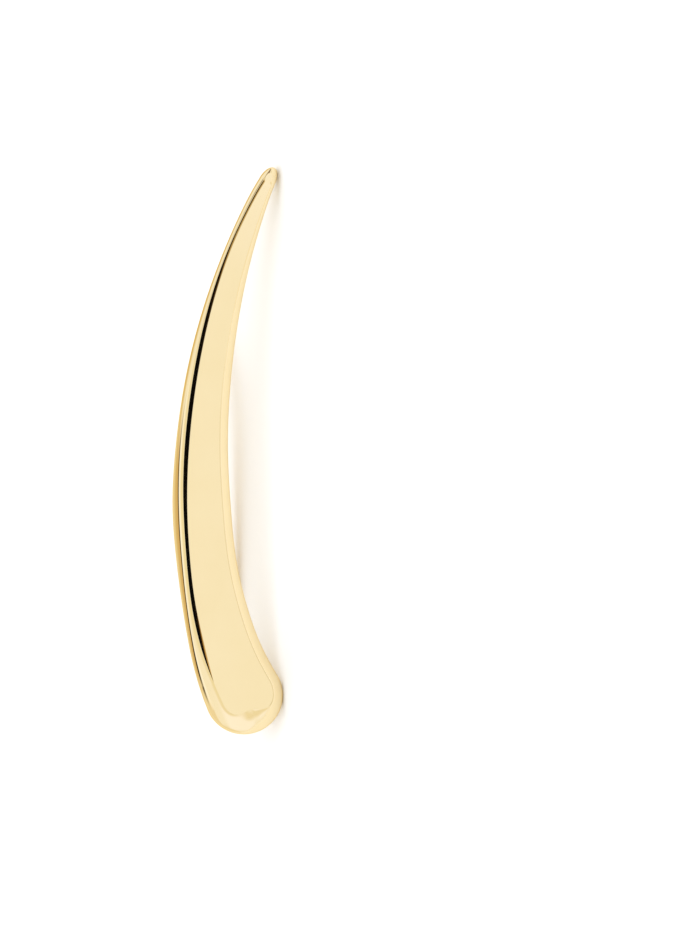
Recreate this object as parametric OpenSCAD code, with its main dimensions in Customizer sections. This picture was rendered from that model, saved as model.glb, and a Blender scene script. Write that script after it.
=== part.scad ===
// Ear climber: a curved, tapering gold blade with a bent ear wire soldered to its back.
// It is shaped as worn, with the blade upright, its front towards -Y and its tip up,
// and then laid down on its concave edge, as it rests by itself.

/* [Blade spine] */
// Radius of the arc just below the tip
tip_bend_r = 16; // [12:0.5:30]
// Angle that the arc below the tip turns through
tip_bend = 8; // [4:0.5:12]
// Radius of the long arc above the upright point
upper_r = 43; // [38:0.5:50]
// Angle that the long upper arc turns through
upper_bend = 23; // [18:0.5:26]
// Radius of the arc below the upright point
lower_r = 36; // [30:0.5:45]
// Angle that the lower arc turns through
lower_bend = 15.3; // [12:0.1:18]
// Radius of the arc that runs into the lobe
lobe_bend_r = 18; // [15:0.5:26]
// Angle that the arc into the lobe turns through
lobe_bend = 11.5; // [8:0.1:14]

/* [Blade section] */
// Length over which the tip rounds off
tip_round = 1; // [0.7:0.05:1.4]
// Slope of the broad face, down from the crest to the concave edge, in degrees
face_tilt = 6.5; // [4:0.5:9]
// Rounding of the back's edges
back_round = 0.17; // [0.1:0.01:0.25]
// Lean of the side walls towards the back, in degrees
wall_lean = 8; // [4:1:12]

/* [Ear wire] */
// Diameter of the wire
wire_d = 0.9; // [0.7:0.05:1]
// How far the joint lies to the concave side of the upright point
joint_x = 2.1; // [1.6:0.05:2.6]
// How far the joint lies below the upright point
joint_drop = 13.15; // [12.8:0.05:13.3]
// Depth that the wire is let into the blade
wire_sink = 0.4; // [0.3:0.05:0.5]
// Lean of the wire's plane, which keeps it behind the blade, in degrees
wire_slant = 4.7; // [3:0.1:6]
// Rise of the shank where it leaves the blade, in degrees
shank_rise = 11.2; // [8:0.1:14]
// Radius of the shank's gentle curve
shank_r = 23; // [18:0.5:30]
// Angle that the shank curves through
shank_bend = 9; // [7:0.1:11]
// Radius of the heel, where the wire turns up
heel_r = 3.37; // [3:0.01:3.8]
// Angle that the heel turns through
heel_bend = 73.4; // [71:0.1:75]
// Length of the straight leg behind the ear
leg_length = 11.9; // [10:0.1:13]
// Radius of the bend at the top of the leg
flare_r = 7.3; // [6:0.1:9]
// Angle that the wire's end flares away from the blade
flare_bend = 20.9; // [15:0.1:25]
// Length of the straight end
end_length = 2.45; // [2:0.05:3]
// Diameter of the solder fillet where it starts inside the blade
solder_d = 1.36; // [1.2:0.02:1.5]
// Height of the solder fillet
solder_h = 0.32; // [0.2:0.02:0.5]

/* [Hidden] */

// How it lies: the turn about its length that brings its concave edge and the heel down,
// the dip of its tip, and the shift that centres its box over the origin, on the surface.
lie_turn = 25.35;
lie_dip = 0.64;
lie_shift = [-1.768, -2.264, 4.691];

// One row for each section of the blade, every ROW_STEP of the spine, the second row at
// the tip's end and the rest below it. They are control values that a smooth curve follows.
// width: across the blade; crest: from the convex edge in to the crest; soft: width of the
// crest's rounding; rim: width of the convex edge's rim; thick: from the crest to the back;
// hollow: how far the crest lies behind a straight edge laid on the front; roll: size of the
// rolled concave edge, as a share of its full size; flare: how far the concave edge has turned
// into the lobe's side, from 0 to 1.
ROW_STEP = 3;
WIDTH = 0;
CREST = 1;
SOFT = 2;
RIM = 3;
THICK = 4;
HOLLOW = 5;
ROLL = 6;
FLARE = 7;
SECTIONS = [
    [0.20, 0.36, 0.14, 0.12, 0.86, -0.200, 0.25, 0.0],
    [0.86, 0.34, 0.16, 0.12, 0.90, 0.000, 0.30, 0.0],
    [1.36, 0.30, 0.17, 0.12, 1.00, 0.080, 0.40, 0.0],
    [1.76, 0.25, 0.21, 0.14, 1.04, 0.190, 0.60, 0.0],
    [2.19, 0.35, 0.27, 0.18, 1.07, 0.220, 0.80, 0.0],
    [2.58, 0.49, 0.31, 0.23, 1.10, 0.230, 0.95, 0.0],
    [2.90, 0.59, 0.33, 0.23, 1.11, 0.230, 1.00, 0.0],
    [3.20, 0.65, 0.36, 0.27, 1.11, 0.220, 1.00, 0.0],
    [3.58, 0.79, 0.30, 0.40, 1.10, 0.160, 1.00, 0.0],
    [3.54, 0.71, 0.26, 0.33, 1.11, 0.150, 1.00, 0.0],
    [3.76, 0.61, 0.31, 0.25, 1.09, 0.130, 1.00, 0.1],
    [4.22, 0.84, 0.38, 0.21, 1.08, 0.085, 1.00, 0.4],
    [4.80, 1.05, -0.45, 0.16, 1.09, -0.014, 1.00, 0.9],
    [5.10, 1.20, -0.50, 0.12, 1.09, -0.080, 1.00, 1.0],
    [5.10, 1.20, -0.50, 0.12, 1.09, -0.160, 1.00, 1.0]
];

// The crest is never sharper than this
LEAST_SOFT = 0.02;

// Edge profiles: how far in from the edge, and how much further than the face's own slope the
// surface has tilted there. The concave edge counts in rolls, and the others in mm.
INSET = 0;
TILT = 1;
CONCAVE_EDGE = [[0.9, 0], [0.75, 0.05], [0.52, 0.1], [0.46, 6], [0.22, 17], [0.1, 41], [0, 90]];
LOBE_SIDE = [[1, 0], [0.67, 0], [0.65, 0.5], [0.5, 12], [0.28, 30], [0.09, 49], [0, 90]];
LOBE_END = [[1.47, 0], [1.46, 3], [1.45, 6], [1, 8.5], [0.5, 16], [0.12, 45], [0, 90]];
TIP_END = [[0.36, 0], [0.35, 6], [0.34, 12.5], [0.23, 24], [0.12, 36], [0.04, 64], [0, 90]];
function convex_edge(crest, soft, rim) =
    let (outer = crest - 0.35 * soft)
    [
        [crest + 0.65 * soft, 0],
        [crest, 6],
        [outer, 12.5],
        [(outer + rim) / 2, 24],
        [rim, 36],
        [0.32 * rim, 64],
        [0, 90]
    ];

// How late the ends' profiles take over, as powers of the swing's sine: at the tip, and at the
// lobe on its convex and its concave side
TIP_BLEND = 1;
LOBE_BLEND = [4, 6];

// How finely the blade is cut: sections along it, sections round each end, steps in each arc
BODY_STEPS = 40;
END_STEPS = 6;
ARC_STEPS = 2;

WIRE_SIDES = 32;
wire_r = wire_d / 2;

// The spine's arcs from the tip down: radius and turn. Two of them lie above the upright point.
SPINE = [[tip_bend_r, tip_bend], [upper_r, upper_bend], [lower_r, lower_bend], [lobe_bend_r, lobe_bend]];
UPRIGHT = 2;

// The wire's stretches from the blade out: a bend has a radius and a turn towards the tip, and
// a straight one has a length
RUN_RADIUS = 0;
RUN_TURN = 1;
RUN_LENGTH = 2;
WIRE_RUNS = [
    [shank_r, shank_bend, 0],
    [heel_r, heel_bend, 0],
    [0, 0, leg_length],
    [flare_r, -flare_bend, 0],
    [0, 0, end_length]
];

// A bead joins each stretch to the next and ends the last. It stands out from the wire by a
// hair, and the stretches stop a little short of its middle.
BEAD_RISE = 0.002;
BEAD_GAP = 0.03;

// The fillet starts inside the blade and ends in a small step on the wire
SOLDER_STEP = 0.02;
solder_top_d = wire_d + 2 * SOLDER_STEP;
solder_length = solder_h + wire_sink / 2;

function arc_length(i) = SPINE[i][0] * SPINE[i][1] * PI / 180;

// Distance along the spine, and its lean from the upright, where the arc i starts
function start_at(i) = i == 0 ? 0 : start_at(i - 1) + arc_length(i - 1);
function start_lean(i) = i == 0 ? -tip_bend - upper_bend : start_lean(i - 1) + SPINE[i - 1][1];
spine_length = start_at(len(SPINE));

// Step that an arc takes as its lean goes from a to b, to the concave side and up
function arc_step(r, a, b) = r * [cos(a) - cos(b), sin(a) - sin(b)];
function arc_start(i) = i == 0 ? [0, 0]
    : arc_start(i - 1) + arc_step(SPINE[i - 1][0], start_lean(i - 1), start_lean(i));

// Which arc holds the distance s, and the spine's lean and place there
function arc_at(s, i = 0) = i < len(SPINE) - 1 && s > start_at(i + 1) ? arc_at(s, i + 1) : i;
function lean_at(s) = let (i = arc_at(s)) start_lean(i) + (s - start_at(i)) / SPINE[i][0] * 180 / PI;
function spine_at(s) = let (i = arc_at(s))
    arc_start(i) + arc_step(SPINE[i][0], start_lean(i), lean_at(s)) - arc_start(UPRIGHT);

// A size from the table of sections at the distance s along the spine, by a smooth cubic curve
function size_at(column, s) =
    let (t = s / ROW_STEP + 1, i = min(max(floor(t), 1), len(SECTIONS) - 3), f = t - i)
    [for (k = [-1:2]) SECTIONS[i + k][column]]
        * [pow(1 - f, 3), 3 * pow(f, 3) - 6 * f * f + 4, 1 + 3 * f + 3 * f * f - 3 * pow(f, 3), pow(f, 3)] / 6;

// How steeply the front falls back along the spine
SLOPE_SPAN = 0.02;
function fall_at(s) = (size_at(HOLLOW, s + SLOPE_SPAN) - size_at(HOLLOW, s - SLOPE_SPAN)) / SLOPE_SPAN / 2;

// A chain of arcs through knots of [way out, tilt]: the depth that they have fallen at the knot i,
// and all the points on them as [way out, depth]
function fallen(knots, i) = i == 0 ? 0
    : fallen(knots, i - 1) + (knots[i][0] - knots[i - 1][0]) * tan((knots[i][1] + knots[i - 1][1]) / 2);
function arc_share(a, b, t) = abs(sin(b) - sin(a)) < 1e-6 ? 0.5 : (sin(t) - sin(a)) / (sin(b) - sin(a));
function chain(knots) = [
    [knots[0][0], 0],
    for (i = [1:len(knots) - 1], k = [1:ARC_STEPS])
        let (
            from = knots[i - 1],
            to = knots[i],
            tilt = from[1] + (to[1] - from[1]) * k / ARC_STEPS,
            run = k == ARC_STEPS ? to[0] - from[0] : (to[0] - from[0]) * arc_share(from[1], to[1], tilt)
        )
        [from[0] + run, fallen(knots, i - 1) + run * tan((from[1] + tilt) / 2)]
];

// Half a section, as [way out, depth], from the spine's front over the edge to the spine's back
function half_section(reach, first_tilt, edge, front, back) =
    let (
        knots = [for (e = edge) [reach - e[INSET], first_tilt + e[TILT] * (1 - first_tilt / 90)]],
        face = chain(concat([[0, first_tilt]], knots)),
        wall_top = face[len(face) - 1][1] + front,
        wall = chain([[wall_top, 0], [back - back_round, wall_lean], [back, 90]]),
        foot = reach - wall[len(wall) - 1][1]
    )
    concat(
        [for (p = face) [p[0], p[1] + front]],
        [for (i = [1:len(wall) - 1]) [reach - wall[i][1], wall[i][0]]],
        [[foot / 2, back], [0, back]]
    );

function scaled(edge, k) = [for (e = edge) [e[INSET] * k, e[TILT]]];
function blended(a, b, t) = [for (i = [0:len(a) - 1]) a[i] * (1 - t) + b[i] * t];

// The half section on one side (-1 convex, 1 concave) at the distance s, swung by the angle
// swing towards the end that lies at way (-1 tip, 1 lobe), as points in space
function half_points(s, side, swing, way) =
    let (
        half_width = size_at(WIDTH, s) / 2,
        crest = size_at(CREST, s),
        soft = max(size_at(SOFT, s), LEAST_SOFT),
        convex = convex_edge(crest, soft, size_at(RIM, s)),
        concave = blended(scaled(CONCAVE_EDGE, size_at(ROLL, s)), LOBE_SIDE, size_at(FLARE, s)),
        rise = -(half_width - crest - 0.33 * soft) * tan(face_tilt),
        front = size_at(HOLLOW, s) - rise,
        back = size_at(HOLLOW, s) + size_at(THICK, s),
        end_reach = way < 0 ? tip_round : half_width,
        across = cos(swing),
        along = sin(swing),
        reach = 1 / norm([across / half_width, along / end_reach]),
        share = pow(along, way < 0 ? TIP_BLEND : LOBE_BLEND[side < 0 ? 0 : 1]),
        edge = blended(side < 0 ? convex : concave, way < 0 ? TIP_END : LOBE_END, share),
        first_tilt = atan(side * across * tan(face_tilt) + way * along * fall_at(s)),
        lean = lean_at(s),
        out = side * across * [cos(lean), sin(lean)] + way * along * [sin(lean), -cos(lean)],
        place = spine_at(s)
    )
    [for (p = half_section(reach, first_tilt, edge, front, back))
        [place[0] + p[0] * out[0], p[1], place[1] + p[0] * out[1]]];

// A whole section: the convex half from front to back, and the concave half back to the front
function section(s, swing, way) =
    let (concave = half_points(s, 1, swing, way))
    concat(half_points(s, -1, swing, way), [for (i = [len(concave) - 2:-1:1]) concave[i]]);

sections = [
    for (k = [END_STEPS:-1:1]) section(tip_round, 90 * k / END_STEPS, -1),
    for (k = [0:BODY_STEPS]) section(tip_round + (spine_length - tip_round) * k / BODY_STEPS, 0, 1),
    for (k = [1:END_STEPS]) section(spine_length, 90 * k / END_STEPS, 1)
];
ring = len(sections[0]);
blade_points = [for (s = sections) each s];

// Triangles between neighbouring sections, without those that the two ends squeeze flat
TINY_AREA = 1e-7;
function area(t) = norm(cross(
    blade_points[t[1]] - blade_points[t[0]],
    blade_points[t[2]] - blade_points[t[0]]
)) / 2;
blade_faces = [
    for (i = [0:len(sections) - 2], j = [0:ring - 1])
        let (
            a = i * ring + j,
            b = i * ring + (j + 1) % ring,
            c = a + ring,
            d = b + ring
        )
        for (t = [[a, d, b], [a, c, d]])
            if (area(t) > TINY_AREA) t
];

joint_y = size_at(HOLLOW, spine_length) + size_at(THICK, spine_length);

module blade() {
    polyhedron(blade_points, blade_faces, convexity = 6);
}

// A bend that starts at the origin, heads up and turns towards +X by the angle given,
// without the gap's length at its two ends
module bend(r, turn) {
    skipped = BEAD_GAP / r * 180 / PI;
    turned = turn < 0 ? 180 : 0;
    rotate([0, 0, turned])
        translate([r, 0, 0])
            rotate([90, 0, 0])
                rotate_extrude(
                    angle = abs(turn) - 2 * skipped,
                    start = 180 - abs(turn) + skipped,
                    $fn = 4 * WIRE_SIDES
                )
                    translate([r, 0])
                        circle(wire_r, $fn = WIRE_SIDES);
}

// The wire from the stretch i on, starting at the origin and heading up
module wire_from(i) {
    r = WIRE_RUNS[i][RUN_RADIUS];
    turn = WIRE_RUNS[i][RUN_TURN];
    length = WIRE_RUNS[i][RUN_LENGTH];
    if (r > 0)
        bend(r, turn);
    else
        translate([0, 0, BEAD_GAP])
            cylinder(r = wire_r, h = length - 2 * BEAD_GAP, $fn = WIRE_SIDES);
    translate([sign(turn) * r * (1 - cos(turn)), 0, length + r * sin(abs(turn))])
        rotate([0, turn, 0]) {
            sphere(wire_r + BEAD_RISE, $fn = WIRE_SIDES);
            if (i < len(WIRE_RUNS) - 1)
                wire_from(i + 1);
        }
}

// Wire and solder, placed at the joint with up pointing away from the blade's back
module wire_and_solder() {
    translate([joint_x, joint_y, -joint_drop])
        rotate([0, -90 - wire_slant, 0])
            rotate([-90, 0, 0])
                rotate([0, shank_rise, 0]) {
                    translate([0, 0, -wire_sink / 2])
                        cylinder(d1 = solder_d, d2 = solder_top_d, h = solder_length, $fn = WIRE_SIDES);
                    translate([0, 0, -wire_sink])
                        wire_from(0);
                }
}

module ear_climber() {
    color("#EBCB7D")
        translate(lie_shift)
            rotate([0, 90 + lie_dip, 0])
                rotate([0, 0, -lie_turn])
                    union() {
                        blade();
                        wire_and_solder();
                    }
}

ear_climber();
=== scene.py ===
"""Ear climber: a polished gold blade with a bent ear wire soldered to its back.

The climber lies on its concave edge on a white table inside a light tent. The shapes follow
the sizes of the solid model: they are worked out as worn (X to the concave side, +Y to the
back, Z up to the tip) and then laid down in the shared frame. Sizes are in millimetres and
angles in degrees, and the shared frame is in metres.
"""

from __future__ import annotations

import logging
import math
from collections.abc import Sequence
from dataclasses import dataclass
from enum import Enum
from typing import Any, NamedTuple

import bmesh
import bpy
import numpy as np
from mathutils import Matrix, Vector

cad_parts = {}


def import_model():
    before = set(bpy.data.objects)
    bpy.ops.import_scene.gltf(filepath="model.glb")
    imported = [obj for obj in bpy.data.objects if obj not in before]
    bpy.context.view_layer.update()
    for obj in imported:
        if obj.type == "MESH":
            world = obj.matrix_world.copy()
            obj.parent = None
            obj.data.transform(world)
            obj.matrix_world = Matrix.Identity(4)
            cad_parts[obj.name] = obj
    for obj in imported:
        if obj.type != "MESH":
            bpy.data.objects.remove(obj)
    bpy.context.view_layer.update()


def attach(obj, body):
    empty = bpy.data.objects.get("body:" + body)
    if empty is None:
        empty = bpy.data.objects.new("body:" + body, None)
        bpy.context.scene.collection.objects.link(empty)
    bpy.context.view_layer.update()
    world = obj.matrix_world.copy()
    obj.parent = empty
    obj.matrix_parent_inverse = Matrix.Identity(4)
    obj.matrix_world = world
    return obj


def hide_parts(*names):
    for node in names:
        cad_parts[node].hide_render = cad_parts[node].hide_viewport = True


LOG = logging.getLogger("ear_climber")
MM = 0.001
BODY = "root"
CAD_NODE = "ear_climber"

# In metres: points nearer than this are one point, and a shorter edge than this is none
SAME_POINT = 2e-8
NO_EDGE = 1e-9
# A profile whose tilt's sine changes by less than this is straight
NO_TURN = 1e-6
# The colour sockets of a Mix node: its share, the colour under, the colour over, the result
MIX_SHARE, MIX_UNDER, MIX_OVER, MIX_RESULT = 0, 6, 7, 2

Profile = Sequence[tuple[float, float]]
Limits = tuple[float, float, float, float]
Colour = tuple[float, float, float, float]
Socket = bpy.types.NodeSocket
Inputs = dict[str | int, Any]
Edge = tuple[Socket, float, float]


class End(Enum):
    """The two ends of the blade, with the way that each points along the spine."""

    TIP = -1
    LOBE = 1


class Side(Enum):
    """The two edges of the blade, with the way from the spine to each."""

    CONVEX = -1
    CONCAVE = 1


def linear(hex_colour: str, light: float = 1.0) -> Colour:
    """Turn an sRGB hex colour into linear light.

    Args:
        hex_colour: six hex digits, such as "FAE6B6".
        light: how brightly the colour is lit.

    Returns:
        Linear red, green and blue, and an alpha of 1.
    """
    parts = [int(hex_colour[i : i + 2], 16) / 255 for i in (0, 2, 4)]
    curve = [p / 12.92 if p <= 0.04045 else ((p + 0.055) / 1.055) ** 2.4 for p in parts]
    return (curve[0] * light, curve[1] * light, curve[2] * light, 1.0)


def feed(tree: bpy.types.NodeTree, node: bpy.types.Node, given: Inputs) -> None:
    """Give a node what goes into it.

    Args:
        tree: the node's tree.
        node: the node.
        given: for each input, by name or number, a socket to link or a value to set.
    """
    for key, value in given.items():
        socket = node.inputs[key]
        if isinstance(value, Socket):
            tree.links.new(value, socket)
        else:
            socket.default_value = value


def add_node(
    tree: bpy.types.NodeTree, kind: str, given: Inputs | None = None, **settings: Any
) -> bpy.types.Node:
    """Add a node with its settings and what goes into it.

    Args:
        tree: the node tree to add to.
        kind: the node's type name.
        given: for each input, by name or number, a socket to link or a value to set.
        settings: properties of the node itself.

    Returns:
        The new node.
    """
    node = tree.nodes.new(kind)
    for name, value in settings.items():
        setattr(node, name, value)
    feed(tree, node, given or {})
    return node


def sew(mesh: bpy.types.Mesh, sharp: Sequence[tuple[int, int]] = ()) -> None:
    """Finish a mesh: merge doubled points, turn its faces outwards and shade it smooth.

    Args:
        mesh: the mesh to finish.
        sharp: ends of each edge that stays a crease.
    """
    work = bmesh.new()
    work.from_mesh(mesh)
    work.verts.ensure_lookup_table()
    for a, b in sharp:
        edge = work.edges.get((work.verts[a], work.verts[b]))
        if edge:
            edge.smooth = False
    bmesh.ops.remove_doubles(work, verts=work.verts, dist=SAME_POINT)
    bmesh.ops.dissolve_degenerate(work, edges=work.edges, dist=NO_EDGE)
    bmesh.ops.recalc_face_normals(work, faces=work.faces)
    for face in work.faces:
        face.smooth = True
    work.to_mesh(mesh)
    work.free()


def add_object(name: str, data: bpy.types.ID) -> bpy.types.Object:
    """Add a mesh or a camera to the scene, at the origin.

    Args:
        name: the object's name.
        data: the mesh or the camera.

    Returns:
        The object.
    """
    obj = bpy.data.objects.new(name, data)
    bpy.context.scene.collection.objects.link(obj)
    return obj


@dataclass(frozen=True)
class Pose:
    """How the climber lies: turned from upright, as worn, and set down on the table."""

    turn: float = 25.35
    dip: float = 0.64
    shift: tuple[float, float, float] = (-1.768, -2.264, 4.691)

    def turned(self) -> Matrix:
        """Return the rotation from the worn frame to the shared frame."""
        lean = Matrix.Rotation(math.radians(-self.turn), 3, "Z")
        return Matrix.Rotation(math.radians(90 + self.dip), 3, "Y") @ lean

    def axes(self) -> list[Vector]:
        """Return the ways to the concave side, the back and the tip in the shared frame."""
        return [axis.copy() for axis in self.turned().col]

    def place(self, points: np.ndarray) -> np.ndarray:
        """Lay points down.

        Args:
            points: rows of worn x, y and z.

        Returns:
            Rows of x, y and z in the shared frame, in metres.
        """
        return (points @ np.array(self.turned()).T + np.array(self.shift)) * MM


def blend_profiles(a: Profile, b: Profile, share: float) -> Profile:
    """Blend two edge profiles.

    Args:
        a: the first profile.
        b: the second profile, with as many knots.
        share: 0 for the first, 1 for the second.

    Returns:
        The profile between them.
    """
    return [
        (p[0] * (1 - share) + q[0] * share, p[1] * (1 - share) + q[1] * share)
        for p, q in zip(a, b, strict=True)
    ]


class Sizes(NamedTuple):
    """The sizes of one section of the blade.

    Attributes:
        width: width of the blade.
        crest: how far in from the convex edge the crest is.
        soft: width of the crest's rounding, which fades to 0 and under it in the lobe.
        rim: width of the convex edge's rim.
        thick: thickness.
        hollow: how far back the front lies.
        roll: size of the rolled concave edge, as a share of the full one.
        flare: how far that edge has turned into the lobe's side, from 0 to 1.
    """

    width: float
    crest: float
    soft: float
    rim: float
    thick: float
    hollow: float
    roll: float
    flare: float


@dataclass
class Blade:
    """The blade: a spine of four arcs, and sections that a smooth curve runs through."""

    # The arcs from the tip down: radius and turn. Two lie above the upright point.
    arcs: tuple[tuple[float, float], ...] = ((16, 8), (43, 23), (36, 15.3), (18, 11.5))
    upright: int = 2
    # The sections, from above the tip to beyond the lobe, and the way from one to the next
    row_step: float = 3
    sections: tuple[tuple[float, ...], ...] = (
        (0.20, 0.36, 0.14, 0.12, 0.86, -0.200, 0.25, 0.0),
        (0.86, 0.34, 0.16, 0.12, 0.90, 0.000, 0.30, 0.0),
        (1.36, 0.30, 0.17, 0.12, 1.00, 0.080, 0.40, 0.0),
        (1.76, 0.25, 0.21, 0.14, 1.04, 0.190, 0.60, 0.0),
        (2.19, 0.35, 0.27, 0.18, 1.07, 0.220, 0.80, 0.0),
        (2.58, 0.49, 0.31, 0.23, 1.10, 0.230, 0.95, 0.0),
        (2.90, 0.59, 0.33, 0.23, 1.11, 0.230, 1.00, 0.0),
        (3.20, 0.65, 0.36, 0.27, 1.11, 0.220, 1.00, 0.0),
        (3.58, 0.79, 0.30, 0.40, 1.10, 0.160, 1.00, 0.0),
        (3.54, 0.71, 0.26, 0.33, 1.11, 0.150, 1.00, 0.0),
        (3.76, 0.61, 0.31, 0.25, 1.09, 0.130, 1.00, 0.1),
        (4.22, 0.84, 0.38, 0.21, 1.08, 0.085, 1.00, 0.4),
        (4.80, 1.05, -0.45, 0.16, 1.09, -0.014, 1.00, 0.9),
        (5.10, 1.20, -0.50, 0.12, 1.09, -0.080, 1.00, 1.0),
        (5.10, 1.20, -0.50, 0.12, 1.09, -0.160, 1.00, 1.0),
    )
    # The crest's rounding: its least width, the width under which it is shaded as a crease, the
    # share of it outside the crest, and the share of it that the face's rise stops short by
    least_soft: float = 0.001
    crease_soft: float = 0.03
    soft_outside: float = 0.35
    soft_rise: float = 0.33
    # The convex edge: the tilt at each of its knots, and the steep share of its rim
    convex_tilts: tuple[float, ...] = (0, 6, 12.5, 24, 36, 64, 90)
    steep_rim: float = 0.32
    # The other edges' knots: how far in from the edge, and how much further than the face's own
    # slope the surface has tilted there
    concave_edge: Profile = (
        (0.9, 0), (0.75, 0.05), (0.52, 0.1), (0.46, 6), (0.22, 17), (0.1, 41), (0, 90)
    )  # fmt: skip
    lobe_side: Profile = (
        (1.0, 0), (0.67, 0), (0.65, 0.5), (0.5, 12), (0.28, 30), (0.09, 49), (0, 90)
    )  # fmt: skip
    lobe_end: Profile = (
        (1.47, 0), (1.46, 3), (1.45, 6), (1.0, 8.5), (0.5, 16), (0.12, 45), (0, 90)
    )  # fmt: skip
    tip_end: Profile = (
        (0.36, 0), (0.35, 6), (0.34, 12.5), (0.23, 24), (0.12, 36), (0.04, 64), (0, 90)
    )  # fmt: skip
    # How late the ends' profiles take over, as powers of the swing's sine: at the tip, and at the
    # lobe on its convex and its concave side
    tip_blend: float = 1.0
    lobe_blend: tuple[float, float] = (4.0, 6.0)
    # The length of the tip's round end, the tilt of the face towards the concave edge, the
    # rounding of the back's edge, and the lean of the side wall
    tip_round: float = 1.0
    face_tilt: float = 6.5
    back_round: float = 0.17
    wall_lean: float = 8.0
    # How finely it is cut: sections along it, sections round each end, steps in each arc, and
    # the way along the spine over which the front's fall is measured
    body_steps: int = 480
    end_steps: int = 48
    arc_steps: int = 5
    fall_span: float = 0.02

    def length(self) -> float:
        """Return the spine's length."""
        return sum(r * math.radians(turn) for r, turn in self.arcs)

    def walk(self, distance: float) -> tuple[float, float, float]:
        """Follow the arcs from the tip down.

        Args:
            distance: how far to go.

        Returns:
            The way gone to the concave side and up, and the lean from the upright there.
        """
        x = z = 0.0
        lean = -sum(turn for _, turn in self.arcs[: self.upright])
        for i, (r, turn) in enumerate(self.arcs):
            run = r * math.radians(turn)
            last = distance <= run or i == len(self.arcs) - 1
            part = math.degrees(distance / r) if last else turn
            a, b = math.radians(lean), math.radians(lean + part)
            x += r * (math.cos(a) - math.cos(b))
            z += r * (math.sin(a) - math.sin(b))
            lean += part
            if last:
                break
            distance -= run
        return x, z, lean

    def spine_at(self, s: float) -> tuple[float, float, float]:
        """Find a place on the spine.

        Args:
            s: distance along the spine.

        Returns:
            Worn x and z there, and the spine's lean from the upright.
        """
        to_upright = sum(r * math.radians(turn) for r, turn in self.arcs[: self.upright])
        x0, z0, _ = self.walk(to_upright)
        x, z, lean = self.walk(s)
        return x - x0, z - z0, lean

    def size_at(self, s: float) -> Sizes:
        """Read the table of sections.

        Args:
            s: distance along the spine.

        Returns:
            The sizes there, by a cubic B-spline through the table.
        """
        t = s / self.row_step + 1
        i = min(max(math.floor(t), 1), len(self.sections) - 3)
        f = t - i
        share = ((1 - f) ** 3, 3 * f**3 - 6 * f**2 + 4, 1 + 3 * f + 3 * f**2 - 3 * f**3, f**3)
        rows = np.array(self.sections[i - 1 : i + 3])
        return Sizes(*(float(size) for size in np.array(share) @ rows / 6))

    def fall_at(self, s: float) -> float:
        """Work out how steeply the front falls back along the spine.

        Args:
            s: distance along the spine.

        Returns:
            The slope there.
        """
        span = self.fall_span
        return (self.size_at(s + span).hollow - self.size_at(s - span).hollow) / (2 * span)

    def chain(self, knots: Profile) -> Profile:
        """Join knots by arcs.

        Args:
            knots: way out, and tilt, at each knot.

        Returns:
            Way out, and depth below the first knot, of the points on the arcs.
        """
        out = [(knots[0][0], 0.0)]
        for (a, from_tilt), (b, to_tilt) in zip(knots, knots[1:]):
            start, depth = out[-1]
            s0, s1 = math.sin(math.radians(from_tilt)), math.sin(math.radians(to_tilt))
            for k in range(1, self.arc_steps + 1):
                tilt = from_tilt + (to_tilt - from_tilt) * k / self.arc_steps
                share = k / self.arc_steps
                if abs(s1 - s0) > NO_TURN:
                    share = (math.sin(math.radians(tilt)) - s0) / (s1 - s0)
                run = (b - a) * share
                mean_tilt = math.radians((from_tilt + tilt) / 2)
                out.append((start + run, depth + run * math.tan(mean_tilt)))
        return out

    def convex_edge(self, crest: float, soft: float, rim: float) -> Profile:
        """Shape the convex edge.

        Args:
            crest: how far in from the edge the crest is.
            soft: width of the crest's rounding.
            rim: width of the edge's rim.

        Returns:
            The edge's profile.
        """
        outer = crest - self.soft_outside * soft
        insets = (
            crest + (1 - self.soft_outside) * soft,
            crest,
            outer,
            (outer + rim) / 2,
            rim,
            self.steep_rim * rim,
            0,
        )
        return list(zip(insets, self.convex_tilts, strict=True))

    def half_section(
        self, reach: float, first: float, edge: Profile, front: float, back: float
    ) -> Profile:
        """Work out half a section.

        Args:
            reach: distance from the spine to the edge.
            first: the face's own tilt.
            edge: the edge's profile.
            front: depth of the front at the spine.
            back: depth of the back.

        Returns:
            Way out and depth, from the spine's front over the edge to the spine's back.
        """
        knots = [(reach - inset, first + more * (1 - first / 90)) for inset, more in edge]
        face = self.chain([(0, first), *knots])
        points = [(out, depth + front) for out, depth in face]
        wall = [(points[-1][1], 0), (back - self.back_round, self.wall_lean), (back, 90)]
        points += [(reach - inward, depth) for depth, inward in self.chain(wall)[1:]]
        foot = points[-1][0]
        steps = range(1, self.arc_steps + 1)
        return points + [(foot * (1 - k / self.arc_steps), back) for k in steps]

    def half_points(
        self, s: float, side: Side, swing: float, end: End
    ) -> list[tuple[float, float, float]]:
        """Place half a section in space.

        Args:
            s: distance along the spine.
            side: the side of the spine that it is on.
            swing: angle that the section is swung by towards the end.
            end: the end that it swings towards.

        Returns:
            Worn points from the spine's front over the edge to the spine's back.
        """
        width, crest, soft, rim, thick, hollow, roll, flare = self.size_at(s)
        soft = max(soft, self.least_soft)
        tilt = math.tan(math.radians(self.face_tilt))
        across, along = math.cos(math.radians(swing)), math.sin(math.radians(swing))
        convex_late, concave_late = self.lobe_blend
        if side is Side.CONVEX:
            edge, late = self.convex_edge(crest, soft, rim), convex_late
        else:
            rolled = [(inset * roll, more) for inset, more in self.concave_edge]
            edge, late = blend_profiles(rolled, self.lobe_side, flare), concave_late
        end_edge, end_reach = self.lobe_end, width / 2
        if end is End.TIP:
            end_edge, end_reach, late = self.tip_end, self.tip_round, self.tip_blend
        edge = blend_profiles(edge, end_edge, along**late)
        reach = 1 / math.hypot(across / (width / 2), along / end_reach)
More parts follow.
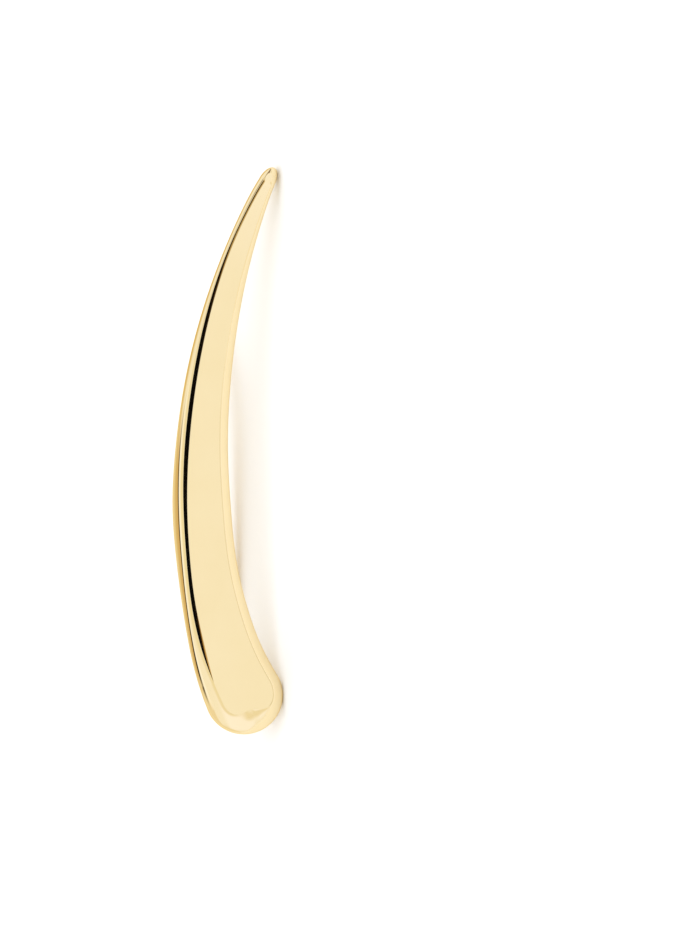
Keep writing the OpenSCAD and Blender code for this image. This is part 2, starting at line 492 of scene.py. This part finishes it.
        # The face rises from the spine to its crest
        front = hollow + (width / 2 - crest - self.soft_rise * soft) * tilt
        slope = side.value * across * tilt + end.value * along * self.fall_at(s)
        first = math.degrees(math.atan(slope))
        half = self.half_section(reach, first, edge, front, hollow + thick)
        x, z, lean = self.spine_at(s)
        c, n = math.cos(math.radians(lean)), math.sin(math.radians(lean))
        out_x = side.value * across * c + end.value * along * n
        out_z = side.value * across * n - end.value * along * c
        return [(x + out * out_x, depth, z + out * out_z) for out, depth in half]

    def stations(self) -> list[tuple[float, float, End]]:
        """List where the sections are.

        Returns:
            Distance along the spine, swing, and the end to swing towards, of each section from
            the tip's end to the lobe's.
        """
        swings = [90 * k / self.end_steps for k in range(1, self.end_steps + 1)]
        body = self.length() - self.tip_round
        steps = range(self.body_steps + 1)
        return [
            *((self.tip_round, swing, End.TIP) for swing in reversed(swings)),
            *((self.tip_round + body * k / self.body_steps, 0, End.LOBE) for k in steps),
            *((self.length(), swing, End.LOBE) for swing in swings),
        ]

    def build(self, pose: Pose) -> bpy.types.Object:
        """Make the blade.

        Args:
            pose: how it lies.

        Returns:
            The blade's object.
        """
        rings, creased = [], []
        for s, swing, end in self.stations():
            convex = self.half_points(s, Side.CONVEX, swing, end)
            concave = self.half_points(s, Side.CONCAVE, swing, end)
            rings.append(convex + concave[-2:0:-1])
            creased.append(self.size_at(s).soft < self.crease_soft)
        ring = len(rings[0])
        faces, sharp = [], []
        for i in range(len(rings) - 1):
            near, far = i * ring, (i + 1) * ring
            for j in range(ring):
                k = (j + 1) % ring
                faces.append((near + j, far + j, far + k, near + k))
            # The crease's two sides are the first and the third knot of the convex edge
            if creased[i] and creased[i + 1]:
                sharp += [(near + j, far + j) for j in (self.arc_steps, 3 * self.arc_steps)]
        mesh = bpy.data.meshes.new("blade")
        mesh.from_pydata(pose.place(np.array(rings).reshape(-1, 3)).tolist(), [], faces)
        sew(mesh, sharp)
        return add_object("blade", mesh)


class Stretch(NamedTuple):
    """A stretch of the wire: a bend, or a straight length where the radius is 0."""

    radius: float
    turn: float
    straight: float

    def length(self) -> float:
        """Return how long it is."""
        return self.straight or self.radius * math.radians(abs(self.turn))

    def along(self, share: float) -> Matrix:
        """Follow the stretch.

        Args:
            share: how much of it, from 0 to 1.

        Returns:
            The move from its start to there.
        """
        if not self.radius:
            return Matrix.Translation((0, 0, self.straight * share))
        angle = math.radians(self.turn * share)
        aside = math.copysign(self.radius, self.turn) * (1 - math.cos(angle))
        ahead = self.radius * abs(math.sin(angle))
        return Matrix.Translation((aside, 0, ahead)) @ Matrix.Rotation(angle, 4, "Y")


@dataclass
class EarWire:
    """The ear wire with its solder fillet, swept along its course by Geometry Nodes."""

    gauge: float = 0.9
    # Where it meets the blade's back, as worn, how far it starts inside the blade, its slant
    # sideways and its rise towards the tip
    joint: tuple[float, float, float] = (2.1, 1.08713, -13.15)
    sink: float = 0.4
    slant: float = 4.7
    shank_rise: float = 11.2
    # From the blade out
    stretches: tuple[Stretch, ...] = (
        Stretch(23, 9, 0),
        Stretch(3.37, 73.4, 0),
        Stretch(0, 0, 11.9),
        Stretch(7.3, -20.9, 0),
        Stretch(0, 0, 2.45),
    )
    # The fillet: its width and height, how far down it widens as a share of that height, and
    # the power that hollows its side
    solder_d: float = 1.3
    solder_h: float = 0.34
    solder_root: float = 0.6
    solder_hollow: float = 2.2
    # How finely it is cut: way between sections, steps of the round end, and its sides. The
    # round end closes to this share of the radius.
    step: float = 0.09
    end_steps: int = 12
    sides: int = 40
    end_share: float = 0.01

    def start(self) -> Matrix:
        """Return the place and direction where the wire starts inside the blade, as worn."""
        return (
            Matrix.Translation(self.joint)
            @ Matrix.Rotation(math.radians(-90 - self.slant), 4, "Y")
            @ Matrix.Rotation(math.radians(-90), 4, "X")
            @ Matrix.Rotation(math.radians(self.shank_rise), 4, "Y")
            @ Matrix.Translation((0, 0, -self.sink))
        )

    def course(self) -> tuple[np.ndarray, np.ndarray]:
        """Follow the wire's middle.

        Returns:
            Worn points along it, and the distance of each from the start.
        """
        at, points, distances, gone = self.start(), [], [], 0.0
        for stretch in self.stretches:
            run = stretch.length()
            count = max(2, round(run / self.step))
            for k in range(count):
                share = k / count
                points.append((at @ stretch.along(share)).translation)
                distances.append(gone + run * share)
            at = at @ stretch.along(1)
            gone += run
        way = (at.to_3x3() @ Vector((0, 0, 1))).normalized()
        for k in range(self.end_steps + 1):
            ahead = self.gauge / 2 * math.sin(math.radians(90 * k / self.end_steps))
            points.append(at.translation + way * ahead)
            distances.append(gone + ahead)
        return np.array([tuple(p) for p in points]), np.array(distances)

    def swell(self, distances: np.ndarray) -> np.ndarray:
        """Work out how thick the wire is along its course.

        Args:
            distances: distance of each point from the start.

        Returns:
            Its radius there, as a share of the wire's own: more in the solder, less in the end.
        """
        length = sum(stretch.length() for stretch in self.stretches)
        above = np.clip((distances - self.sink) / self.solder_h, -self.solder_root, 1)
        fillet = (self.solder_d / self.gauge - 1) * (1 - above) ** self.solder_hollow
        beyond = np.clip((distances - length) / (self.gauge / 2), 0, 1)
        return (1 + fillet) * np.sqrt(np.maximum(1 - beyond**2, self.end_share**2))

    def sweep_tree(self, material: bpy.types.Material) -> bpy.types.NodeTree:
        """Build the tree that sweeps round wire along a course.

        Args:
            material: what the wire is made of.

        Returns:
            The Geometry Nodes tree, with the wire's radius and its sides as inputs.
        """
        tree = bpy.data.node_groups.new("round wire along its course", "GeometryNodeTree")
        for name, way, kind in (
            ("Geometry", "INPUT", "NodeSocketGeometry"),
            ("Wire radius", "INPUT", "NodeSocketFloat"),
            ("Sides", "INPUT", "NodeSocketInt"),
            ("Geometry", "OUTPUT", "NodeSocketGeometry"),
        ):
            tree.interface.new_socket(name, in_out=way, socket_type=kind)
        given = add_node(tree, "NodeGroupInput").outputs
        course = add_node(tree, "GeometryNodeMeshToCurve", {"Mesh": given["Geometry"]})
        swell = add_node(
            tree, "GeometryNodeInputNamedAttribute", {"Name": "swell"}, data_type="FLOAT"
        )
        ring = add_node(
            tree,
            "GeometryNodeCurvePrimitiveCircle",
            {"Resolution": given["Sides"], "Radius": given["Wire radius"]},
        )
        sized = add_node(
            tree,
            "GeometryNodeSetCurveRadius",
            {"Curve": course.outputs["Curve"], "Radius": swell.outputs["Attribute"]},
        )
        swept = add_node(
            tree,
            "GeometryNodeCurveToMesh",
            {
                "Curve": sized.outputs["Curve"],
                "Profile Curve": ring.outputs["Curve"],
                "Fill Caps": True,
            },
        )
        # Where the sweep has a size input of its own, it takes no notice of the curve's radius
        if "Scale" in swept.inputs:
            tree.links.new(swell.outputs["Attribute"], swept.inputs["Scale"])
        smooth = add_node(
            tree, "GeometryNodeSetShadeSmooth", {"Geometry": swept.outputs["Mesh"]}
        )
        real = add_node(
            tree, "GeometryNodeRealizeInstances", {"Geometry": smooth.outputs["Geometry"]}
        )
        dressed = add_node(
            tree,
            "GeometryNodeSetMaterial",
            {"Geometry": real.outputs["Geometry"], "Material": material},
        )
        add_node(tree, "NodeGroupOutput", {"Geometry": dressed.outputs["Geometry"]})
        return tree

    def build(self, pose: Pose, material: bpy.types.Material) -> bpy.types.Object:
        """Make the wire.

        Args:
            pose: how it lies.
            material: what the wire is made of.

        Returns:
            The wire's object, a plain mesh.
        """
        points, distances = self.course()
        line = bpy.data.meshes.new("wire course")
        links = [(i, i + 1) for i in range(len(points) - 1)]
        line.from_pydata(pose.place(points).tolist(), links, [])
        swell = line.attributes.new("swell", "FLOAT", "POINT")
        swell.data.foreach_set("value", self.swell(distances).astype(np.float32))
        guide = add_object("wire course", line)
        tree = self.sweep_tree(material)
        sweep = guide.modifiers.new("sweep", "NODES")
        sweep.node_group = tree
        sizes = {"Wire radius": self.gauge / 2 * MM, "Sides": self.sides}
        for item in tree.interface.items_tree:
            if item.in_out == "INPUT" and item.name in sizes:
                sweep[item.identifier] = sizes[item.name]
        bpy.context.view_layer.update()
        swept = guide.evaluated_get(bpy.context.evaluated_depsgraph_get())
        mesh = bpy.data.meshes.new_from_object(swept)
        guide.modifiers.remove(sweep)
        bpy.data.objects.remove(guide)
        mesh.name = "ear_wire"
        sew(mesh)
        return add_object("ear_wire", mesh)


def new_material(name: str) -> tuple[bpy.types.Material, bpy.types.Node]:
    """Start a material.

    Args:
        name: the material's name.

    Returns:
        The material and its shader.
    """
    material = bpy.data.materials.new(name)
    material.use_nodes = True
    return material, material.node_tree.nodes["Principled BSDF"]


@dataclass(frozen=True)
class PolishedGold:
    """14 karat yellow gold, cast, ground and buffed to a mirror.

    A buffed face mirrors its surroundings almost sharply. What gives it away as metal by hand
    is a very shallow waviness that bends the reflections, and fine lines left by the mop.
    """

    name: str = "14 karat yellow gold, cast and mirror buffed"
    # What white paper looks like in it, and the deeper gold of a little more copper in clouds
    face: str = "EFDDB3"
    deeper: str = "EBD7A8"
    cloud_mm: float = 3.0
    edge: str = "F6E2B4"
    # The mop's lines, drawn as coarse as they need to show: how far apart, how much longer than
    # wide, the noise that counts as lines, and the least and most they make of the roughness
    roughness: float = 0.035
    mop_mm: float = 0.05
    mop_stretch: float = 20.0
    mop_noise: tuple[float, float] = (0.35, 0.75)
    mop_haze: tuple[float, float] = (0.7, 1.7)
    # The waviness: how wide and how deep
    wave_mm: float = 2.5
    wave_depth_mm: float = 0.0006

    def build(self) -> bpy.types.Material:
        """Make the material.

        Returns:
            The material.
        """
        material, shader = new_material(self.name)
        tree = material.node_tree
        place = add_node(tree, "ShaderNodeTexCoord").outputs["Object"]
        cloud = add_node(
            tree,
            "ShaderNodeTexNoise",
            {"Vector": place, "Scale": 1 / (self.cloud_mm * MM), "Detail": 3.0},
        )
        tone = add_node(
            tree,
            "ShaderNodeMix",
            {
                MIX_SHARE: cloud.outputs["Fac"],
                MIX_UNDER: linear(self.face),
                MIX_OVER: linear(self.deeper),
            },
            data_type="RGBA",
        )
        # Mop lines run along the blade, which lies along X
        lines = add_node(
            tree, "ShaderNodeMapping", {"Vector": place, "Scale": (1 / self.mop_stretch, 1, 1)}
        )
        mop = add_node(
            tree,
            "ShaderNodeTexNoise",
            {"Vector": lines.outputs["Vector"], "Scale": 1 / (self.mop_mm * MM), "Detail": 2.0},
        )
        haze = add_node(
            tree,
            "ShaderNodeMapRange",
            {
                "Value": mop.outputs["Fac"],
                "From Min": self.mop_noise[0],
                "From Max": self.mop_noise[1],
                "To Min": self.roughness * self.mop_haze[0],
                "To Max": self.roughness * self.mop_haze[1],
            },
        )
        wave = add_node(
            tree,
            "ShaderNodeTexNoise",
            {"Vector": place, "Scale": 1 / (self.wave_mm * MM), "Detail": 1.0},
        )
        bump = add_node(
            tree,
            "ShaderNodeBump",
            {
                "Height": wave.outputs["Fac"],
                "Strength": 1.0,
                "Distance": self.wave_depth_mm * MM,
            },
        )
        feed(
            tree,
            shader,
            {
                "Base Color": tone.outputs[MIX_RESULT],
                "Metallic": 1.0,
                "Roughness": haze.outputs["Result"],
                "Normal": bump.outputs["Normal"],
                "Specular Tint": linear(self.edge),
            },
        )
        return material


@dataclass(frozen=True)
class DrawnGoldWire:
    """14 karat yellow gold wire, drawn through a die, annealed, bent and polished.

    The die leaves faint lines along the wire, and the torch leaves a slightly deeper, duller
    tone around the solder.
    """

    name: str = "14 karat yellow gold wire, drawn and polished"
    face: str = "F0D498"
    edge: str = "F2D79C"
    # The torch's tone, from where to where it fades, and the size of its stains
    heated: str = "DDB566"
    heat_from_mm: float = 0.4
    heat_reach_mm: float = 2.2
    stain_mm: float = 0.6
    # The die's lines, drawn as coarse as they need to show: how far apart, how much longer than
    # wide, how deep and how strong, and the share of the roughness that is there without them
    roughness: float = 0.05
    die_mm: float = 0.06
    die_stretch: float = 25.0
    die_depth_mm: float = 0.0004
    die_strength: float = 0.6
    die_least: float = 0.5

    def build(self, joint: Vector) -> bpy.types.Material:
        """Make the material.

        Args:
            joint: where the wire is soldered on, in the shared frame.

        Returns:
            The material.
        """
        material, shader = new_material(self.name)
        tree = material.node_tree
        place = add_node(tree, "ShaderNodeTexCoord").outputs["Object"]
        away = add_node(
            tree, "ShaderNodeVectorMath", {0: place, 1: tuple(joint)}, operation="DISTANCE"
        )
        heat = add_node(
            tree,
            "ShaderNodeMapRange",
            {
                "Value": away.outputs["Value"],
                "From Min": self.heat_from_mm * MM,
                "From Max": self.heat_reach_mm * MM,
                "To Min": 1.0,
                "To Max": 0.0,
            },
            interpolation_type="SMOOTHSTEP",
        )
        stain = add_node(
            tree,
            "ShaderNodeTexNoise",
            {"Vector": place, "Scale": 1 / (self.stain_mm * MM), "Detail": 4.0},
        )
        stained = add_node(
            tree,
            "ShaderNodeMath",
            {0: heat.outputs["Result"], 1: stain.outputs["Fac"]},
            operation="MULTIPLY",
        )
        tone = add_node(
            tree,
            "ShaderNodeMix",
            {
                MIX_SHARE: stained.outputs["Value"],
                MIX_UNDER: linear(self.face),
                MIX_OVER: linear(self.heated),
            },
            data_type="RGBA",
        )
        # The wire's leg lies along X too
        lines = add_node(
            tree, "ShaderNodeMapping", {"Vector": place, "Scale": (1 / self.die_stretch, 1, 1)}
        )
        drawn = add_node(
            tree,
            "ShaderNodeTexNoise",
            {"Vector": lines.outputs["Vector"], "Scale": 1 / (self.die_mm * MM), "Detail": 2.0},
        )
        dull = add_node(
            tree,
            "ShaderNodeMath",
            {0: drawn.outputs["Fac"], 1: self.roughness, 2: self.roughness * self.die_least},
            operation="MULTIPLY_ADD",
        )
        bump = add_node(
            tree,
            "ShaderNodeBump",
            {
                "Height": drawn.outputs["Fac"],
                "Strength": self.die_strength,
                "Distance": self.die_depth_mm * MM,
            },
        )
        feed(
            tree,
            shader,
            {
                "Base Color": tone.outputs[MIX_RESULT],
                "Metallic": 1.0,
                "Roughness": dull.outputs["Value"],
                "Normal": bump.outputs["Normal"],
                "Specular Tint": linear(self.edge),
            },
        )
        return material


@dataclass(frozen=True)
class PaperTable:
    """Matt white paper, pressed and uncoated: bright and almost without gloss."""

    name: str = "matt white paper"
    colour: str = "FCFCFC"
    roughness: float = 0.95
    gloss: float = 0.1
    # In metres
    size: float = 4.0

    def build(self) -> bpy.types.Object:
        """Make the table top that the climber lies on.

        Returns:
            The table top.
        """
        material, shader = new_material(self.name)
        feed(
            material.node_tree,
            shader,
            {
                "Base Color": linear(self.colour),
                "Roughness": self.roughness,
                "Specular IOR Level": self.gloss,
            },
        )
        half = self.size / 2
        corners = [(-half, -half, 0), (half, -half, 0), (half, half, 0), (-half, half, 0)]
        mesh = bpy.data.meshes.new("table")
        mesh.from_pydata(corners, [], [(0, 1, 2, 3)])
        mesh.materials.append(material)
        table = add_object("table", mesh)
        return table


class Tone(NamedTuple):
    """A colour at an angle, and how brightly it is lit."""

    angle: float
    colour: str
    light: float = 1.0


@dataclass(frozen=True)
class Patch:
    """A paper or a mark on the tent's wall.

    Each row of four angles says where it starts, where it is full, until where, and where it
    ends. The last row counts from the middle of the hole, and is all round it if not given.
    """

    name: str
    across: Limits
    above: Limits
    colour: str
    light: float = 1.0
    away: Limits = (-2, -1, 360, 361)


@dataclass
class Sight:
    """Where a ray meets the tent: nodes for its angles, and for what is on the walls there.

    Attributes:
        tree: the tent's node tree.
        across: the ray's angle across the view.
        above: its angle above the view.
        away: its angle away from the middle of the hole.
    """

    tree: bpy.types.NodeTree
    across: Socket
    above: Socket
    away: Socket

    def inside(self, edges: Sequence[Edge]) -> Socket | float:
        """Find where a ray is inside all of some edges.

        Args:
            edges: for each edge an angle of the ray, and where it is fully in and fully out.

        Returns:
            1 inside and 0 outside, soft at the edges.
        """
        share: Socket | float = 1.0
        for angle, full, none in edges:
            edge = add_node(
                self.tree,
                "ShaderNodeMapRange",
                {"Value": angle, "From Min": math.radians(none), "From Max": math.radians(full)},
                interpolation_type="SMOOTHSTEP",
            )
            both = {0: share, 1: edge.outputs["Result"]}
            share = add_node(self.tree, "ShaderNodeMath", both, operation="MULTIPLY").outputs[0]
        return share

    def tones(self, angle: Socket, rows: Sequence[Tone]) -> Socket:
        """Find the colour at an angle.

        Args:
            angle: the ray's angle.
            rows: the tones, in the order of their angles.

        Returns:
            The colour there.
        """
        low, high = rows[0].angle, rows[-1].angle
        share = add_node(
            self.tree,
            "ShaderNodeMapRange",
            {"Value": angle, "From Min": math.radians(low), "From Max": math.radians(high)},
        )
        blend = add_node(self.tree, "ShaderNodeValToRGB", {"Fac": share.outputs["Result"]})
        stops = blend.color_ramp.elements
        while len(stops) > 1:
            stops.remove(stops[-1])
        stops[0].color = linear(rows[0].colour, rows[0].light)
        stops[0].position = 0.0
        for row in rows[1:]:
            stop = stops.new((row.angle - low) / (high - low))
            stop.color = linear(row.colour, row.light)
        return blend.outputs["Color"]


@dataclass(frozen=True)
class LightTent:
    """A white tent with a dark hole for the lens, and a tan board that stands in it.

    The polished gold mirrors all of it. The angles across the view run from the convex side, with
    a minus, to the concave side, and those above it from the lobe, with a minus, to the tip.
    """

    white: str = "FFFFFF"
    strength: float = 1.12
    # The matt table is lit a little more, so that it is clean white and its shadow pale
    table_strength: float = 1.26
    # The tones across the view, at the board's height
    board: tuple[Tone, ...] = (
        Tone(-180, "FFFFFF"),
        Tone(-150, "FFFFFF"),
        Tone(-128, "F2EAD0"),
        Tone(-104, "E2CD9C"),
        Tone(-72, "D8B983"),
        Tone(-67, "5A4A32"),
        Tone(-64, "241F17"),
        Tone(-59, "241F17"),
        Tone(-56.5, "F4F6FF", 1.22),
        Tone(-44, "F4F6FF", 1.22),
        Tone(-34, "F8F4E4"),
        Tone(-16, "F4EFD6"),
        Tone(-12, "FFFFFF"),
        Tone(180, "FFFFFF"),
    )
    # The same below the board, and above it
    lower_walls: tuple[Tone, ...] = (
        Tone(-180, "FFFFFF"),
        Tone(-110, "FAF2DC"),
        Tone(-50, "F4EAD0"),
        Tone(-14, "FFFFFF"),
        Tone(180, "FFFFFF"),
    )
    upper_walls: tuple[Tone, ...] = (
        Tone(-180, "FFFFFF"),
        Tone(-140, "E2CC96"),
        Tone(-110, "E6D3A4"),
        Tone(-80, "FFFFFF"),
        Tone(180, "FFFFFF"),
    )
    # Angle above the view where each is full, and where it ends
    upper_foot: tuple[float, float] = (0.0, -6.0)
    board_top: tuple[float, float] = (3.0, 9.0)
    board_foot: tuple[float, float] = (-15.0, -20.0)
    # The hole's middle across the view, and its radius where it is full, and where it ends
    hole_at: float = -0.7
    hole: tuple[float, float] = (10.0, 10.9)
    # The tones above the view inside the hole, which is brown towards its foot and its top
    inside: tuple[Tone, ...] = (
        Tone(-9.0, "D8C498"),
        Tone(-3.7, "B8A070"),
        Tone(-3.3, "8C7650"),
        Tone(-2.9, "6E5A38"),
        Tone(-2.4, "483414"),
        Tone(-1.7, "2E2212"),
        Tone(-1.1, "0A0A0A"),
        Tone(2.1, "0A0A0A"),
        Tone(2.4, "2A1E0E"),
        Tone(2.65, "6A4A20"),
        Tone(2.85, "9A7038"),
        Tone(3.1, "C0A068"),
        Tone(3.6, "D8BC88"),
    )
    # Papers and marks on the walls, in the order that they are put up
    patches: tuple[Patch, ...] = (
        Patch("lower card's plain wing", (-52, -47, -24, -12), (-60, -45, -9, -4), "FFFFFF"),
        Patch("lower card, lit most", (-34, -16, 15, 25), (-75, -55, -12, -5), "F0F2FF", 1.22),
        Patch(
            "shade round the hole",
            (-50, -30, 22, 26),
            (-50, -40, -8, -2.5),
            "F5EFDC",
            away=(13.5, 15.1, 18.6, 26),
        ),
        Patch("crease", (15.5, 17.5, 20.0, 21.5), (-4, 0, 88, 89), "DEDACB"),
        Patch("brown smear above the hole", (-42, -14, -2, 4), (4.5, 9, 88, 89), "7A6040"),
    )

    def sight(self, tree: bpy.types.NodeTree, pose: Pose) -> Sight:
        """Work out where a ray meets the tent.

        Args:
            tree: the tent's node tree.
            pose: how the climber lies.

        Returns:
            The ray's angles.
        """
        right, back, up = pose.axes()
        ray = add_node(tree, "ShaderNodeTexCoord").outputs["Generated"]
        sideways, ahead, upwards = (
            add_node(
                tree, "ShaderNodeVectorMath", {0: ray, 1: tuple(way)}, operation="DOT_PRODUCT"
            ).outputs["Value"]
            for way in (right, -back, up)
        )
        across = add_node(
            tree, "ShaderNodeMath", {0: sideways, 1: ahead}, operation="ARCTAN2"
        ).outputs[0]
        above = add_node(tree, "ShaderNodeMath", {0: upwards}, operation="ARCSINE").outputs[0]
        spot = add_node(tree, "ShaderNodeCombineXYZ", {"X": across, "Y": above}).outputs[0]
        middle = (math.radians(self.hole_at), 0.0, 0.0)
        away = add_node(tree, "ShaderNodeVectorMath", {0: spot, 1: middle}, operation="DISTANCE")
        return Sight(tree, across, above, away.outputs["Value"])

    def seen(self, sight: Sight) -> Socket:
        """Put up the walls, the board, the papers and the hole, one in front of the other.

        Args:
            sight: where a ray meets the tent.

        Returns:
            The colour that it meets.
        """
        across, above, away = sight.across, sight.above, sight.away
        board = [(above, *self.board_top), (above, *self.board_foot)]
        # What stands in front of the lower walls: its name, its edges and its colour
        sheets: list[tuple[str, list[Edge], Socket | Colour]] = [
            ("upper walls", [(above, *self.upper_foot)], sight.tones(across, self.upper_walls)),
            ("board", board, sight.tones(across, self.board)),
        ]
        for patch in self.patches:
            edges = []
            limits = zip((across, above, away), (patch.across, patch.above, patch.away))
            for angle, (start, full, until, end) in limits:
                edges += [(angle, full, start), (angle, until, end)]
            sheets.append((patch.name, edges, linear(patch.colour, patch.light)))
        sheets.append(("hole", [(away, *self.hole)], sight.tones(above, self.inside)))
        seen = sight.tones(across, self.lower_walls)
        for name, edges, colour in sheets:
            layers = {MIX_SHARE: sight.inside(edges), MIX_UNDER: seen, MIX_OVER: colour}
            mix = add_node(sight.tree, "ShaderNodeMix", layers, data_type="RGBA", label=name)
            seen = mix.outputs[MIX_RESULT]
        return seen

    def build(self, pose: Pose) -> None:
        """Light the scene.

        Args:
            pose: how the climber lies, which the camera looks square at.
        """
        world = bpy.data.worlds.new("light tent")
        bpy.context.scene.world = world
        world.use_nodes = True
        tree = world.node_tree
        tree.nodes.clear()
        seen = self.seen(self.sight(tree, pose))
        tent = add_node(tree, "ShaderNodeBackground", {"Color": seen, "Strength": self.strength})
        plain = add_node(
            tree,
            "ShaderNodeBackground",
            {"Color": linear(self.white), "Strength": self.table_strength},
        )
        # The lens and the matt table get plain white light, and what the gold mirrors is the
        # tent with its hole and board
        path = add_node(tree, "ShaderNodeLightPath").outputs
        rays = {0: path["Is Camera Ray"], 1: path["Is Diffuse Ray"]}
        matt = add_node(tree, "ShaderNodeMath", rays, operation="MAXIMUM")
        either = add_node(
            tree,
            "ShaderNodeMixShader",
            {0: matt.outputs[0], 1: tent.outputs[0], 2: plain.outputs[0]},
        )
        add_node(tree, "ShaderNodeOutputWorld", {"Surface": either.outputs[0]})


@dataclass(frozen=True)
class LongLens:
    """The camera: square to the climber's front, its tip up in the picture."""

    distance: float = 800.0
    # In pixels, the picture's width and height, and where the spine's upright point is in it,
    # and the size of a pixel at the climber
    picture: tuple[int, int] = (700, 933)
    upright_at: tuple[float, float] = (200.8, 481)
    pixel: float = 0.06
    sensor: float = 36.0
    # In metres
    clip: tuple[float, float] = (0.01, 20.0)

    def build(self, pose: Pose) -> bpy.types.Object:
        """Make the camera.

        Args:
            pose: how the climber lies.

        Returns:
            The camera.
        """
        width, height = self.picture
        data = bpy.data.cameras.new("long lens")
        data.sensor_width = self.sensor
        data.lens = self.sensor * self.distance / (height * self.pixel)
        data.clip_start, data.clip_end = self.clip
        camera = add_object("camera", data)
        aside = (width / 2 - self.upright_at[0]) * self.pixel
        above = (self.upright_at[1] - height / 2) * self.pixel
        place = pose.place(np.array([[aside, -self.distance, above]]))[0]
        right, back, up = pose.axes()
        facing = Matrix((right, up, -back)).transposed().to_4x4()
        camera.matrix_world = Matrix.Translation(place) @ facing
        bpy.context.scene.camera = camera
        return camera


def join_frame(piece: bpy.types.Object, material: bpy.types.Material) -> None:
    """Dress a finished piece and fix it to the solid model.

    Args:
        piece: the finished piece.
        material: what it is made of.
    """
    piece.data.materials.clear()
    piece.data.materials.append(material)
    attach(piece, BODY)
    LOG.info("%s: %d faces", piece.name, len(piece.data.polygons))


def main() -> None:
    """Build the climber, its table, its light and its camera."""
    logging.basicConfig(level=logging.INFO, format="%(name)s: %(message)s")
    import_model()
    pose = Pose()
    wire = EarWire()
    gold = PolishedGold().build()
    wire_gold = DrawnGoldWire().build(Vector(pose.place(np.array([wire.joint]))[0]))
    blade = Blade().build(pose)
    join_frame(blade, gold)
    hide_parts(CAD_NODE)
    join_frame(wire.build(pose, wire_gold), wire_gold)
    PaperTable().build()
    LightTent().build(pose)
    LongLens().build(pose)
    bpy.context.scene.view_settings.view_transform = "Standard"


if __name__ == "__main__":
    main()
